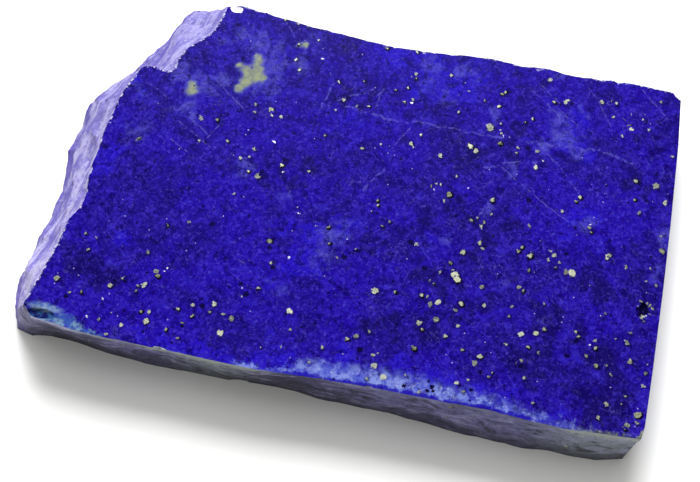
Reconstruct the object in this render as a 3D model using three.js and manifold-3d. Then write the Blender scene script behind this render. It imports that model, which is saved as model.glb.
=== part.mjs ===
// A rough slice of lapis lazuli: one stone, sawn flat above and below and along its right-hand end.
// The long front wall is the grey natural skin of the block, the left-hand end is broken, steep and stepped,
// and the back is roughly trimmed. Millimetres, +Z up, the origin under the middle of the slice.
import * as THREE from "three";
import { ImprovedNoise } from "three/addons/math/ImprovedNoise.js";
import { mergeVertices } from "three/addons/utils/BufferGeometryUtils.js";
import Module from "manifold-3d";

// Driving dimensions
const THICKNESS = 7; // between the two sawn faces
const COLUMN_SPACING = 1.0; // of the facets along the walls
const WALL_ROWS = 9; // of facets from the upper edge down to the foot
const CALM_MARGIN = 1.4; // how far from a corner the relief of a wall fades out
const UPPER_CALM = 0.16; // the share of the depth, below the upper edge, over which the relief grows
const LUMP_SIZE = 4.2; // across the coarse relief
const GRAIN_SIZE = 1.7; // across the fine relief
const RAGGED_SIZE = 1.3; // across the nicks of the upper edge
const ROW_WANDER = 0.45; // how far the rows of facets stray up and down, as a share of the lumps
const LEDGE_WAVE = 7; // along a ledge, from one rise to the next
const LEDGE_WANDER = 0.3; // how far a ledge rises and falls, as a share of the thickness
const LEDGE_SOFTNESS = 0.07; // half the depth of a ledge's riser, as a share of the thickness
const CUTTER_DETAIL = 3; // facets of the shapes that cut the scars and chips
const CUTTER_UNEVENNESS = 0.22; // how far those shapes are from smooth, as a share of their radius
const CUTTER_LUMPS = 0.8; // across their lumps, as a share of their radius
const SCAR_FLATNESS = 5; // how many times its bite a scar's cutter is deep, from its middle
const CHIP_STRETCH = 1.5; // how much longer along the edge a chip is than across it
const HOLLOW_STEEPNESS = 2.2; // height of a hollow's cutter, in depths of the hollow
const NOISE_START = [31.7, 17.3, 5.9]; // where in the noise the stone lies, in its features
const MERGE_DISTANCE = 1e-4;
const SHORTEST_EDGE = 0.02; // finer slivers than this are closed up after cutting

// Stations round the slice, counter-clockwise from above. Each has the x and y of the upper edge, then of the
// foot.
const SKIN_STATIONS = [
  [-30.0, -13.2, -32.0, -13.8],
  [-29.0, -14.2, -29.8, -14.3],
  [-27.6, -14.4, -28.4, -13.9],
  [-24.4, -14.8, -25.4, -14.0],
  [-21.9, -14.9, -22.4, -14.4],
  [-17.7, -14.9, -18.0, -14.6],
  [-13.8, -14.9, -13.8, -14.7],
  [-7.4, -15.0, -7.4, -14.4],
  [-2.5, -14.8, -2.5, -14.4],
  [0.2, -14.6, 0.8, -14.7],
  [7.8, -14.4, 8.0, -14.7],
  [12.7, -14.4, 13.0, -15.1],
  [16.1, -14.3, 16.2, -15.2],
  [20.5, -14.5, 20.8, -15.4],
  [24.0, -14.6, 24.2, -15.2],
  [28.4, -14.3, 28.0, -15.0],
  [31.2, -14.1, 30.7, -14.4],
];
const SAWN_STATIONS = [
  [31.2, -14.1, 30.7, -14.4],
  [31.4, -12.8, 31.3, -12.8],
  [31.4, -6.0, 31.4, -6.0],
  [31.3, 2.0, 31.3, 2.0],
  [31.1, 10.0, 31.1, 10.0],
  [30.8, 17.4, 30.8, 17.4],
  [30.4, 22.6, 30.4, 22.9],
];
const BACK_STATIONS = [
  [30.4, 22.6, 30.4, 22.9],
  [29.6, 23.4, 29.8, 24.0],
  [24.8, 23.5, 24.9, 24.4],
  [19.0, 23.1, 19.2, 24.2],
  [15.4, 23.5, 15.6, 24.6],
  [13.4, 23.1, 13.4, 24.4],
  [10.7, 23.4, 10.8, 24.2],
  [8.8, 23.3, 8.9, 24.0],
  [4.3, 22.8, 4.3, 23.8],
  [0.0, 22.6, 0.0, 23.4],
  [-4.9, 22.9, -5.0, 23.7],
  [-9.5, 23.4, -9.6, 24.5],
  [-12.3, 23.6, -12.4, 24.8],
  [-16.9, 24.1, -17.2, 25.0],
  [-18.4, 23.8, -20.4, 25.5],
];
const BROKEN_STATIONS = [
  [-18.4, 23.8, -20.4, 25.5],
  [-18.6, 22.6, -23.6, 25.6],
  [-19.1, 20.5, -25.0, 24.2],
  [-20.2, 19.1, -25.7, 22.0],
  [-21.4, 17.9, -26.5, 20.0],
  [-21.9, 16.6, -27.2, 18.0],
  [-22.3, 15.3, -28.1, 16.9],
  [-22.9, 14.8, -29.0, 16.0],
  [-24.0, 15.1, -29.8, 15.0],
  [-25.4, 14.9, -30.4, 14.0],
  [-26.1, 13.3, -31.0, 12.6],
  [-26.7, 11.3, -31.5, 10.8],
  [-27.1, 8.5, -32.1, 8.5],
  [-27.4, 6.3, -32.3, 6.4],
  [-27.5, 3.7, -31.8, 3.8],
  [-27.6, 2.2, -31.7, 1.8],
  [-27.2, -0.1, -32.1, -0.2],
  [-27.4, -2.0, -32.2, -2.2],
  [-28.2, -3.5, -32.2, -3.8],
  [-28.5, -6.0, -32.8, -6.2],
  [-29.0, -8.5, -33.0, -8.6],
  [-29.6, -11.2, -32.8, -11.4],
  [-30.0, -13.2, -32.0, -13.8],
];

// How each wall is made. bow: how much sooner than a straight slope it reaches its foot. ledges: steps along
// it, each with its depth as a share of the thickness and its tread in millimetres. lumps and grain: the
// height of its coarse and fine relief. ragged: how far its upper edge strays.
const WALLS = [
  {
    name: "skin",
    stations: SKIN_STATIONS,
    bow: 0,
    ledges: [[0.5, 0.12]],
    lumps: 0.2,
    grain: 0.12,
    ragged: 0.1,
  },
  {
    name: "sawn",
    stations: SAWN_STATIONS,
    bow: 0,
    ledges: [],
    lumps: 0,
    grain: 0,
    ragged: 0,
  },
  {
    name: "back",
    stations: BACK_STATIONS,
    bow: 0.6,
    ledges: [[0.42, 0.35]],
    lumps: 0.5,
    grain: 0.22,
    ragged: 0.2,
  },
  {
    name: "broken",
    stations: BROKEN_STATIONS,
    bow: 0.75,
    ledges: [
      [0.3, 0.45],
      [0.64, 0.5],
    ],
    lumps: 0.6,
    grain: 0.28,
    ragged: 0.16,
  },
];

// Shallow scars that overlap along the walls: the wall, how far along it and down it as shares, the half
// length of the scar along the wall, its half width across it, and how deep it bites.
const SCARS = [
  ["broken", 0.07, 0.35, 3.4, 2.4, 0.5],
  ["broken", 0.14, 0.8, 3.8, 2.2, 0.5],
  ["broken", 0.22, 0.4, 3.2, 2.5, 0.55],
  ["broken", 0.31, 0.82, 4.2, 2.1, 0.5],
  ["broken", 0.36, 0.3, 3.0, 2.0, 0.45],
  ["broken", 0.45, 0.62, 4.4, 2.6, 0.55],
  ["broken", 0.55, 0.24, 4.0, 1.8, 0.4],
  ["broken", 0.6, 0.8, 4.6, 2.3, 0.5],
  ["broken", 0.71, 0.42, 4.4, 2.4, 0.5],
  ["broken", 0.8, 0.85, 3.8, 2.0, 0.45],
  ["broken", 0.87, 0.3, 3.6, 2.0, 0.4],
  ["broken", 0.94, 0.7, 3.0, 2.4, 0.45],
  ["back", 0.06, 0.6, 3.6, 2.8, 0.5],
  ["back", 0.16, 0.3, 3.8, 2.2, 0.42],
  ["back", 0.25, 0.75, 4.4, 2.4, 0.5],
  ["back", 0.36, 0.35, 4.0, 2.4, 0.45],
  ["back", 0.46, 0.78, 4.2, 2.4, 0.5],
  ["back", 0.57, 0.4, 4.4, 2.6, 0.5],
  ["back", 0.68, 0.8, 4.0, 2.2, 0.45],
  ["back", 0.77, 0.35, 4.2, 2.4, 0.5],
  ["back", 0.88, 0.7, 3.8, 2.6, 0.5],
  ["skin", 0.1, 0.7, 4.2, 2.0, 0.25],
  ["skin", 0.3, 0.6, 5.0, 1.6, 0.2],
  ["skin", 0.5, 0.4, 4.6, 1.7, 0.25],
  ["skin", 0.68, 0.75, 4.4, 1.8, 0.3],
  ["skin", 0.85, 0.35, 4.0, 1.6, 0.22],
];

// Chips along the upper and lower edges: the wall, how far along it, the depth of the edge as a share, the
// chip's radius and its bite.
const EDGE_CHIPS = [
  ["broken", 0.26, 0, 0.6, 0.12],
  ["broken", 0.63, 0, 0.7, 0.14],
  ["broken", 0.86, 0, 0.6, 0.12],
  ["back", 0.13, 0, 0.7, 0.14],
  ["back", 0.31, 0, 0.8, 0.16],
  ["back", 0.56, 0, 0.6, 0.12],
  ["back", 0.77, 0, 0.7, 0.14],
  ["skin", 0.24, 0, 0.6, 0.12],
  ["skin", 0.58, 0, 0.7, 0.12],
  ["sawn", 0.3, 1, 1.0, 0.28],
  ["sawn", 0.76, 1, 0.8, 0.22],
  ["skin", 0.36, 1, 1.0, 0.2],
  ["back", 0.2, 1, 1.5, 0.45],
  ["back", 0.7, 1, 1.3, 0.4],
];

// Hollows in the sawn upper face: centre x and y, half length along x, half width, and depth.
const FACE_HOLLOWS = [
  [-28.2, -13.8, 1.5, 0.5, 0.35], // the chipped corner beside the blue-green rim
  [-17.4, 23.6, 0.75, 0.42, 0.35], // a small dimple at the far corner
  [29.7, -1.1, 0.5, 0.62, 0.35], // where a grain has fallen out beside the sawn end
];

const perlin = new ImprovedNoise();

// Smooth noise, mostly between -0.6 and 0.6, with features about size millimetres across.
function noise(x, y, z, size) {
  const [startX, startY, startZ] = NOISE_START;
  return perlin.noise(x / size + startX, y / size + startY, z / size + startZ);
}

// From 0 at low to 1 at high, with soft ends.
function ramp(value, low, high) {
  return THREE.MathUtils.smoothstep(value, low, high);
}

// The outward direction in plan at each station, square to the run of the foot.
function outwardAtStations(stations) {
  return stations.map((station, i) => {
    const before = stations[Math.max(i - 1, 0)];
    const after = stations[Math.min(i + 1, stations.length - 1)];
    return new THREE.Vector2(after[3] - before[3], before[2] - after[2]).normalize();
  });
}

// The columns of a wall, about COLUMN_SPACING apart, each with its upper edge, foot, outward direction and
// distance along the wall. A wall's last station is the next wall's first, so it is left to that wall.
function columnsOf(wall) {
  const outwards = outwardAtStations(wall.stations);
  const columns = [];
  let along = 0;
  for (let i = 0; i + 1 < wall.stations.length; i++) {
    const [ux, uy, fx, fy] = wall.stations[i];
    const [nextUx, nextUy, nextFx, nextFy] = wall.stations[i + 1];
    const run = Math.max(Math.hypot(nextUx - ux, nextUy - uy), Math.hypot(nextFx - fx, nextFy - fy));
    const count = Math.max(1, Math.round(run / COLUMN_SPACING));
    for (let k = 0; k < count; k++) {
      const share = k / count;
      columns.push({
        wall,
        along: along + share * run,
        upper: new THREE.Vector2(ux, uy).lerp(new THREE.Vector2(nextUx, nextUy), share),
        foot: new THREE.Vector2(fx, fy).lerp(new THREE.Vector2(nextFx, nextFy), share),
        outward: outwards[i].clone().lerp(outwards[i + 1], share).normalize(),
      });
    }
    along += run;
  }
  for (const column of columns) {
    column.calm = ramp(Math.min(column.along, along - column.along), 0, CALM_MARGIN);
  }
  return columns;
}

// Where the wall lies at a column and a depth, which runs from 0 at the upper edge to 1 at the foot.
function wallPoint({ wall, along, upper, foot, outward, calm }, depth) {
  const reach = 1 - (1 - depth) ** (1 + wall.bow);
  const place = upper.clone().lerp(foot, reach);
  const z = THICKNESS * (1 - depth);
  const waver = noise(along, z, 0, LEDGE_WAVE);
  let relief = 0;
  for (const [ledgeDepth, tread] of wall.ledges) {
    const brink = ledgeDepth + LEDGE_WANDER * waver;
    relief += tread * (ramp(depth, brink - LEDGE_SOFTNESS, brink + LEDGE_SOFTNESS) - depth);
  }
  relief += wall.lumps * noise(place.x, place.y, z, LUMP_SIZE);
  relief += wall.grain * noise(place.x, place.y, z, GRAIN_SIZE);
  relief *= ramp(depth, 0, UPPER_CALM);
  const nearUpperEdge = 1 - ramp(depth, 0, UPPER_CALM);
  const nicks = wall.ragged * noise(place.x, place.y, 0, RAGGED_SIZE) * nearUpperEdge;
  place.addScaledVector(outward, calm * (relief + nicks));
  const isBetweenEdges = depth > 0 && depth < 1;
  const lift = isBetweenEdges ? calm * wall.lumps * ROW_WANDER * noise(place.y, place.x, z, LUMP_SIZE) : 0;
  return new THREE.Vector3(place.x, place.y, z + lift);
}

// The body of the slice: rings of points from the upper edge to the foot, joined into walls, and capped flat.
function slabGeometry(columns) {
  const positions = [];
  const faces = [];
  for (let row = 0; row <= WALL_ROWS; row++) {
    for (const column of columns) positions.push(wallPoint(column, row / WALL_ROWS));
  }
  const count = columns.length;
  for (let row = 0; row < WALL_ROWS; row++) {
    for (let i = 0; i < count; i++) {
      const next = (i + 1) % count;
      const [a, b] = [row * count + i, row * count + next];
      const [c, d] = [a + count, b + count];
      const leansRight = positions[a].distanceTo(positions[d]) < positions[b].distanceTo(positions[c]);
      faces.push(...(leansRight ? [a, c, d, a, d, b] : [a, c, b, b, c, d]));
    }
  }
  for (const [row, flip] of [
    [0, false],
    [WALL_ROWS, true],
  ]) {
    const ring = positions.slice(row * count, (row + 1) * count).map(({ x, y }) => new THREE.Vector2(x, y));
    for (const [a, b, c] of THREE.ShapeUtils.triangulateShape(ring, [])) {
      const corners = [a, b, c].map((corner) => row * count + corner);
      faces.push(...(flip ? corners.reverse() : corners));
    }
  }
  return new THREE.BufferGeometry().setFromPoints(positions).setIndex(faces);
}

// A lumpy ellipsoid to cut with. Its three radii lie along the three directions given.
function cutter(centre, radii, directions) {
  const turn = new THREE.Matrix4().makeBasis(...directions).setPosition(centre);
  const shape = new THREE.IcosahedronGeometry(1, CUTTER_DETAIL);
  const positions = shape.attributes.position;
  for (let i = 0; i < positions.count; i++) {
    const point = new THREE.Vector3().fromBufferAttribute(positions, i);
    const sample = point.clone().add(centre).toArray();
    point.multiplyScalar(1 + CUTTER_UNEVENNESS * noise(...sample, CUTTER_LUMPS));
    positions.setXYZ(i, ...point.toArray());
  }
  return shape.scale(...radii).applyMatrix4(turn);
}

// The point of a wall nearest a share of its length, with the directions along the wall, across it and away
// from it.
function wallFrame(columnsByWall, name, share, depth) {
  const columns = columnsByWall.get(name);
  const index = Math.min(columns.length - 2, Math.max(1, Math.round(share * (columns.length - 1))));
  const [before, here, after] = columns.slice(index - 1, index + 2);
  const point = wallPoint(here, depth);
  const run = wallPoint(after, depth).sub(wallPoint(before, depth)).normalize();
  const down = wallPoint(here, 1).sub(wallPoint(here, 0)).normalize();
  const face = new THREE.Vector3().crossVectors(down, run).normalize();
  return { point, run, side: new THREE.Vector3().crossVectors(face, run), face };
}

function scarCutters(columnsByWall) {
  return SCARS.map(([name, share, depth, halfLength, halfWidth, bite]) => {
    const { point, run, side, face } = wallFrame(columnsByWall, name, share, depth);
    const deep = bite * SCAR_FLATNESS;
    const spread = Math.sqrt(1 - (1 - 1 / SCAR_FLATNESS) ** 2); // the scar's width over the cutter's
    const radii = [halfLength / spread, halfWidth / spread, deep];
    return cutter(point.addScaledVector(face, deep - bite), radii, [run, side, face]);
  });
}

function chipCutters(columnsByWall) {
  return EDGE_CHIPS.map(([name, share, depth, radius, bite]) => {
    const { point, run, face } = wallFrame(columnsByWall, name, share, depth);
    const away = face.clone().add(new THREE.Vector3(0, 0, depth === 0 ? 1 : -1)).normalize();
    const side = new THREE.Vector3().crossVectors(away, run).normalize();
    const square = new THREE.Vector3().crossVectors(run, side);
    const radii = [radius * CHIP_STRETCH, radius, radius];
    return cutter(point.addScaledVector(square, radius - bite), radii, [run, side, square]);
  });
}

function hollowCutters() {
  const axes = [new THREE.Vector3(1, 0, 0), new THREE.Vector3(0, 1, 0), new THREE.Vector3(0, 0, 1)];
  return FACE_HOLLOWS.map(([x, y, halfLength, halfWidth, deep]) => {
    const height = deep * HOLLOW_STEEPNESS;
    const rim = Math.sqrt(1 - (1 - 1 / HOLLOW_STEEPNESS) ** 2); // its width at the face over its widest
    const centre = new THREE.Vector3(x, y, THICKNESS + height - deep);
    return cutter(centre, [halfLength / rim, halfWidth / rim, height], axes);
  });
}

const wasm = await Module();
wasm.setup();

function solidFrom(geometry) {
  const bare = geometry.clone();
  bare.deleteAttribute("normal");
  bare.deleteAttribute("uv");
  const merged = mergeVertices(bare, MERGE_DISTANCE);
  const mesh = new wasm.Mesh({
    numProp: 3,
    vertProperties: new Float32Array(merged.attributes.position.array),
    triVerts: new Uint32Array(merged.index.array),
  });
  return new wasm.Manifold(mesh);
}

function geometryFrom(solid) {
  const { vertProperties, triVerts } = solid.getMesh();
  return new THREE.BufferGeometry()
    .setAttribute("position", new THREE.BufferAttribute(vertProperties, 3))
    .setIndex(new THREE.BufferAttribute(triVerts, 1))
    .toNonIndexed();
}

// The stone, with its scars, chips and hollows cut away and any crumb that they leave loose dropped, moved so
// that the origin is under its middle.
function stoneGeometry() {
  const columnsByWall = new Map(WALLS.map((wall) => [wall.name, columnsOf(wall)]));
  let stone = solidFrom(slabGeometry([...columnsByWall.values()].flat()));
  const cutters = [...scarCutters(columnsByWall), ...chipCutters(columnsByWall), ...hollowCutters()];
  for (const shape of cutters) stone = stone.subtract(solidFrom(shape));
  stone = stone.decompose().reduce((largest, body) => (body.volume() > largest.volume() ? body : largest));
  const geometry = geometryFrom(stone.simplify(SHORTEST_EDGE));
  geometry.computeBoundingBox();
  const middle = geometry.boundingBox.getCenter(new THREE.Vector3());
  geometry.translate(-middle.x, -middle.y, -geometry.boundingBox.min.z);
  geometry.computeVertexNormals();
  return geometry;
}

const lapis = new THREE.MeshStandardMaterial({ color: 0x2a1c9b, roughness: 0.42, metalness: 0 });
const slice = new THREE.Mesh(stoneGeometry(), lapis);
slice.name = "lapis_slice";

const group = new THREE.Group();
group.add(slice);

export default group;
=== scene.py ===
import math

import bmesh
import bpy
import numpy as np
from mathutils import Matrix, Vector, noise
from mathutils.geometry import intersect_point_line


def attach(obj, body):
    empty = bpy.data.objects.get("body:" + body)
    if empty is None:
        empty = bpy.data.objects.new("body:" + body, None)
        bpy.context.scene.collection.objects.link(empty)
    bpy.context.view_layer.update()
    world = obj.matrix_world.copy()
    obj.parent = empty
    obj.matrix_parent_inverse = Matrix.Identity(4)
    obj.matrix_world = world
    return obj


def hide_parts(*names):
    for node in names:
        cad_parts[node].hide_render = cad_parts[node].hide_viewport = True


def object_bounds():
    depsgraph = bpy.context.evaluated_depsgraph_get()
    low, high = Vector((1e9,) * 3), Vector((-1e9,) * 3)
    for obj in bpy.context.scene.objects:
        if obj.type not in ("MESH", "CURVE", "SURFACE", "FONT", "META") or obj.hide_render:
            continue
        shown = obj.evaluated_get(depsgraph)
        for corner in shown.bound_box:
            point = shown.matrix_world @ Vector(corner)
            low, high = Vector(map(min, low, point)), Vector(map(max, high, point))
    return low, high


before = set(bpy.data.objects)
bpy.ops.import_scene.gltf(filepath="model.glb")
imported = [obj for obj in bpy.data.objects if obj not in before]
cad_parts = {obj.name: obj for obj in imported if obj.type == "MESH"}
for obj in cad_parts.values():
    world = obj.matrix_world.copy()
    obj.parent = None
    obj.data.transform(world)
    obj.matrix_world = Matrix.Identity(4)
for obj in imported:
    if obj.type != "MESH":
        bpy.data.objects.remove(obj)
CAD_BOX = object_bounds()

MM = 0.001
LOW, HIGH = CAD_BOX

# The camera, as the photo has it: where it aims on the sawn face, and how many of its pixels a millimetre takes
# there.
PICTURE_WIDTH, PICTURE_HEIGHT = 700, 482
LENS, SENSOR = 75.0, 36.0
AZIMUTH, ELEVATION = math.radians(12), math.radians(68)
PIXELS_PER_MM = 10.0
AIM = Vector((HIGH.x - 31.4 * MM, LOW.y + 15.42 * MM, HIGH.z))
FOCAL_PIXELS = LENS / SENSOR * PICTURE_WIDTH
CAMERA_DISTANCE = FOCAL_PIXELS / PIXELS_PER_MM * MM

# The stone's cells and relief, in metres
CELL = 0.5 * MM  # across the cells that its faces are cut into
RIM_STEP = 0.16 * MM  # along the sawn edges, from one nibble to the next
NIBBLE = 0.11 * MM  # how deep the sawn edges are nibbled
WALL_RELIEF = 0.16 * MM  # of the broken walls, finer than the part's own
SKIN_RELIEF = 0.07 * MM  # of the natural skin
SHARP_ANGLE = math.radians(38)

# Kinds of face, kept while the mesh is cut
WALL, UPPER, UNDER, SAWN_END, HOLLOW = range(5)

# The hollows in the sawn face: pixel across, pixel down, how far they reach in millimetres, and how they look
CORNER_HOLLOW = (39, 312, 2.1)
# A dimple whose bottom is painted near-white: a painted highlight.
DIMPLE_WITH_PAINTED_HIGHLIGHT = (236, 9, 0.8)
# A pit whose inside is painted near-black: painted shade in the hollow.
PIT_WITH_PAINTED_SHADE = (644, 310, 0.9)

# Pyrite grains on the sawn face: where the photo has them, in its pixels, and their radius in millimetres.
# Those of one size are listed together.
LARGE_GRAINS = 0.36
LARGE_PLACES = [
    (258, 176), (449, 194), (269, 241), (375, 291), (438, 302), (455, 275), (457, 279), (656, 186), (567, 102),
    (572, 273), (374, 365), (220, 333), (470, 146), (476, 151), (638, 415), (383, 377), (490, 127),
]  # fmt: skip
MIDDLE_GRAINS = 0.245
MIDDLE_PLACES = [
    (193, 305), (214, 304), (223, 314), (231, 318), (156, 271), (158, 275),
    (201, 118), (254, 149), (282, 165), (344, 100), (290, 311), (411, 144), (148, 252), (57, 278), (110, 285),
    (144, 285), (149, 312), (146, 321), (99, 319), (121, 325), (182, 323), (322, 347), (356, 336), (366, 378),
    (445, 336), (458, 326), (419, 323), (414, 348), (521, 334), (536, 333), (544, 329), (480, 356), (475, 363),
    (627, 343), (630, 361), (627, 425), (625, 428), (480, 243), (492, 200), (482, 287), (531, 253), (530, 256),
    (607, 257), (609, 255), (662, 251), (580, 197), (554, 255), (463, 252), (461, 304), (430, 304), (566, 272),
    (642, 317), (440, 155), (602, 102), (631, 129), (629, 126), (436, 319),
    (550, 80), (535, 167), (271, 110), (596, 366), (456, 383), (416, 244), (455, 310), (665, 203), (500, 143),
]  # fmt: skip
SMALL_GRAINS = 0.16
SMALL_PLACES = [
    (192, 316), (178, 309), (210, 312), (217, 120), (272, 115), (422, 295), (482, 248), (434, 284), (416, 74),
    (586, 356), (576, 332), (369, 331), (491, 214), (256, 104), (453, 271), (296, 59), (318, 40), (336, 110),
    (641, 302), (647, 303), (635, 311), (650, 305), (646, 316), (649, 314), (643, 321), (652, 309), (638, 307),
    (199, 141), (228, 141), (240, 158), (250, 157), (248, 171), (281, 117), (255, 112), (299, 70), (299, 44),
    (325, 135), (339, 82), (322, 59), (167, 225), (189, 222), (234, 194), (309, 171), (328, 227), (86, 233),
    (96, 238), (88, 249), (139, 138), (123, 278), (81, 292), (138, 286), (136, 291), (141, 311), (69, 292),
    (166, 329), (178, 338), (106, 334), (290, 329), (347, 339), (378, 353), (373, 355), (406, 375), (419, 392),
    (431, 389), (463, 391), (422, 329), (462, 349), (578, 337), (590, 345), (596, 341), (595, 348), (616, 339),
    (630, 333), (516, 363), (521, 360), (524, 378), (538, 353), (606, 365), (611, 375), (647, 364), (645, 373),
    (643, 386), (533, 403), (606, 404), (622, 404), (598, 418), (637, 423), (468, 380), (489, 376), (492, 373),
    (528, 347), (506, 344), (506, 92), (502, 94), (554, 102), (612, 101), (617, 103), (661, 102), (614, 117),
    (643, 119), (649, 130), (672, 156), (533, 119), (525, 122), (499, 106), (501, 133), (518, 148), (469, 91),
    (485, 101), (271, 263), (258, 288), (242, 296), (395, 292), (329, 227), (316, 226), (382, 226), (390, 221),
    (427, 296), (429, 280), (341, 253), (337, 257), (356, 249), (329, 243), (437, 184), (431, 186), (441, 185),
    (457, 176), (297, 207), (377, 200), (378, 205), (371, 211), (444, 201), (450, 263), (440, 272), (471, 220),
    (481, 226), (477, 218), (484, 222), (492, 234), (529, 226), (518, 251), (522, 247), (529, 270), (551, 251),
    (548, 260), (559, 263), (555, 267), (626, 267), (646, 281), (656, 285), (590, 227), (591, 232), (576, 201),
    (562, 211), (636, 181), (635, 200), (639, 213), (661, 236), (484, 305), (512, 306), (519, 287), (523, 291),
    (544, 304), (599, 315), (606, 314), (509, 316), (650, 268), (652, 310), (357, 106), (369, 106), (364, 81),
    (396, 90), (408, 88), (381, 144), (421, 135), (362, 148), (458, 112), (451, 75), (416, 78), (413, 100),
    (404, 102), (281, 347), (261, 347), (309, 362), (625, 396), (537, 151), (517, 153), (622, 136),
    (285, 20), (298, 24), (308, 26), (417, 52), (387, 48), (343, 387), (336, 385), (556, 98), (501, 124),
]  # fmt: skip

WALL_GRAINS = 130  # how many lie in the walls and the sawn end

# White glints, and dark spots in the blue
GLINTS = 0.1
GLINT_PLACES = [
    (87, 316), (381, 144), (437, 183), (431, 186), (434, 190), (457, 177), (290, 329), (373, 355), (261, 347),
    (281, 347), (309, 362), (617, 103), (533, 119), (501, 130), (503, 136), (481, 228), (646, 281), (590, 224),
    (524, 378), (637, 423), (167, 268), (164, 271), (242, 288), (102, 299), (323, 59), (283, 172),
    (414, 147), (468, 187), (543, 161), (492, 232), (600, 316), (606, 314), (625, 341), (590, 345), (347, 239),
    (421, 135), (339, 82), (364, 81), (299, 213), (224, 216), (248, 130), (274, 142), (289, 258), (412, 102),
]  # fmt: skip
DARK_SPOTS = 0.26
DARK_PLACES = [
    (125, 281), (83, 294), (206, 142), (285, 160), (348, 98), (273, 267), (246, 294), (344, 257), (359, 251),
    (411, 242), (427, 391), (460, 385), (474, 223), (484, 246), (424, 268), (269, 247), (262, 172), (115, 281),
    # The spots from (641, 309) to (642, 306) lie in the pit and deepen its painted shade.
    (529, 200), (571, 103), (566, 254), (641, 309), (645, 307), (643, 304), (646, 312),
    (640, 314), (638, 309), (642, 306), (485, 355),
    (480, 372), (521, 366), (567, 356), (576, 341), (471, 390), (432, 387), (404, 386), (315, 388), (528, 148),
    (66, 296), (202, 306), (182, 326), (241, 284), (212, 224), (243, 58), (196, 58), (238, 25), (360, 350),
]  # fmt: skip

# Soft patches on the sawn face: pixel across, pixel down, radius in millimetres
OLIVE_PATCHES = [
    (252, 76, 1.3), (258, 70, 0.95), (259, 62, 0.8), (258, 55, 0.5), (246, 70, 0.8), (240, 65, 0.6),
    (245, 82, 0.9), (239, 88, 0.8), (262, 78, 0.8), (192, 90, 0.95), (192, 84, 0.6), (305, 45, 0.55),
    (299, 45, 0.4), (139, 139, 0.3), (300, 70, 0.35), (57, 232, 0.5),
]  # fmt: skip
PALE_CLOUDS = [
    (272, 66, 2.4), (259, 40, 1.6), (320, 255, 1.3), (224, 82, 1.4), (568, 137, 1.7), (149, 126, 1.1),
    (313, 45, 1.2), (274, 49, 1.4), (243, 34, 1.1), (301, 62, 1.4), (468, 72, 1.4), (273, 87, 1.5),
    (579, 150, 1.2), (224, 47, 1.0), (344, 235, 1.5), (185, 73, 1.6), (492, 130, 1.0), (134, 134, 1.4),
    (586, 227, 1.2), (185, 109, 1.7), (544, 145, 1.0), (279, 289, 1.1), (426, 85, 1.2), (513, 169, 1.0),
    (262, 90, 1.4), (133, 86, 1.0), (243, 168, 1.2), (443, 246, 1.0), (663, 237, 1.0), (660, 271, 0.9),
    (581, 108, 1.2), (116, 334, 0.9), (325, 255, 1.4), (560, 78, 1.2), (493, 110, 1.0),
    (207, 82, 1.5), (562, 121, 1.7), (327, 239, 1.7), (433, 66, 1.4), (237, 99, 1.0),
    (486, 212, 1.0), (284, 198, 1.0), (446, 99, 1.0), (507, 281, 1.1),
]  # fmt: skip
VIVID_PATCHES = [
    (438, 380, 2.0), (400, 365, 1.8), (510, 398, 1.6), (340, 358, 1.5), (478, 392, 1.5), (560, 414, 1.3),
    (160, 341, 1.4), (303, 261, 2.3), (435, 69, 2.8), (466, 72, 2.4), (571, 140, 2.0), (138, 333, 1.3),
    (584, 151, 1.4), (99, 168, 1.5), (110, 154, 1.5), (455, 85, 2.8), (290, 272, 1.8), (422, 90, 1.8),
    (343, 230, 1.8), (352, 118, 1.7), (279, 360, 2.5), (558, 235, 1.4), (277, 291, 1.6), (392, 56, 2.5),
    (163, 344, 1.6), (136, 82, 1.3), (285, 227, 1.5), (222, 357, 1.6), (128, 237, 1.4), (263, 335, 1.4),
    (187, 350, 1.4), (430, 232, 1.3), (339, 213, 1.3), (255, 361, 1.8), (579, 115, 1.4), (583, 219, 1.8),
    (310, 234, 1.8), (330, 140, 1.4), (200, 350, 1.6),
]  # fmt: skip
DARK_PATCHES = [
    (544, 323, 2.0), (585, 283, 1.8), (439, 283, 1.7), (601, 289, 2.4), (525, 359, 2.0), (507, 145, 1.4),
    (518, 130, 1.4), (453, 205, 1.6), (637, 279, 1.4), (309, 166, 1.4), (482, 306, 1.4), (538, 348, 1.6),
    (468, 158, 2.0), (578, 336, 1.4), (557, 312, 2.0), (617, 295, 1.3), (541, 306, 1.1), (483, 241, 1.2),
    (422, 324, 2.0), (509, 226, 1.4), (460, 143, 1.1), (534, 382, 1.3), (441, 334, 1.5), (604, 412, 2.5),
    (491, 327, 1.3), (637, 180, 1.6), (456, 311, 1.6), (603, 368, 3.0), (284, 171, 1.2), (629, 165, 1.1),
    (344, 95, 1.6), (376, 91, 1.4), (349, 53, 1.6), (330, 143, 1.3), (362, 111, 1.2), (485, 162, 1.4),
    (459, 173, 1.4), (446, 196, 1.3), (300, 182, 1.3), (261, 182, 1.2), (372, 246, 1.3), (514, 275, 1.1),
    (433, 294, 1.4), (459, 286, 1.3), (604, 259, 1.2), (601, 316, 1.2), (647, 192, 1.2), (636, 134, 1.1),
    (466, 217, 1.1), (614, 398, 2.4), (425, 273, 2.1), (582, 391, 2.2), (366, 327, 1.4), (80, 266, 2.5),
    (108, 275, 2.2), (387, 320, 1.4), (423, 226, 1.2), (476, 258, 1.7), (395, 336, 1.4), (345, 92, 1.5),
]  # fmt: skip

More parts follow.
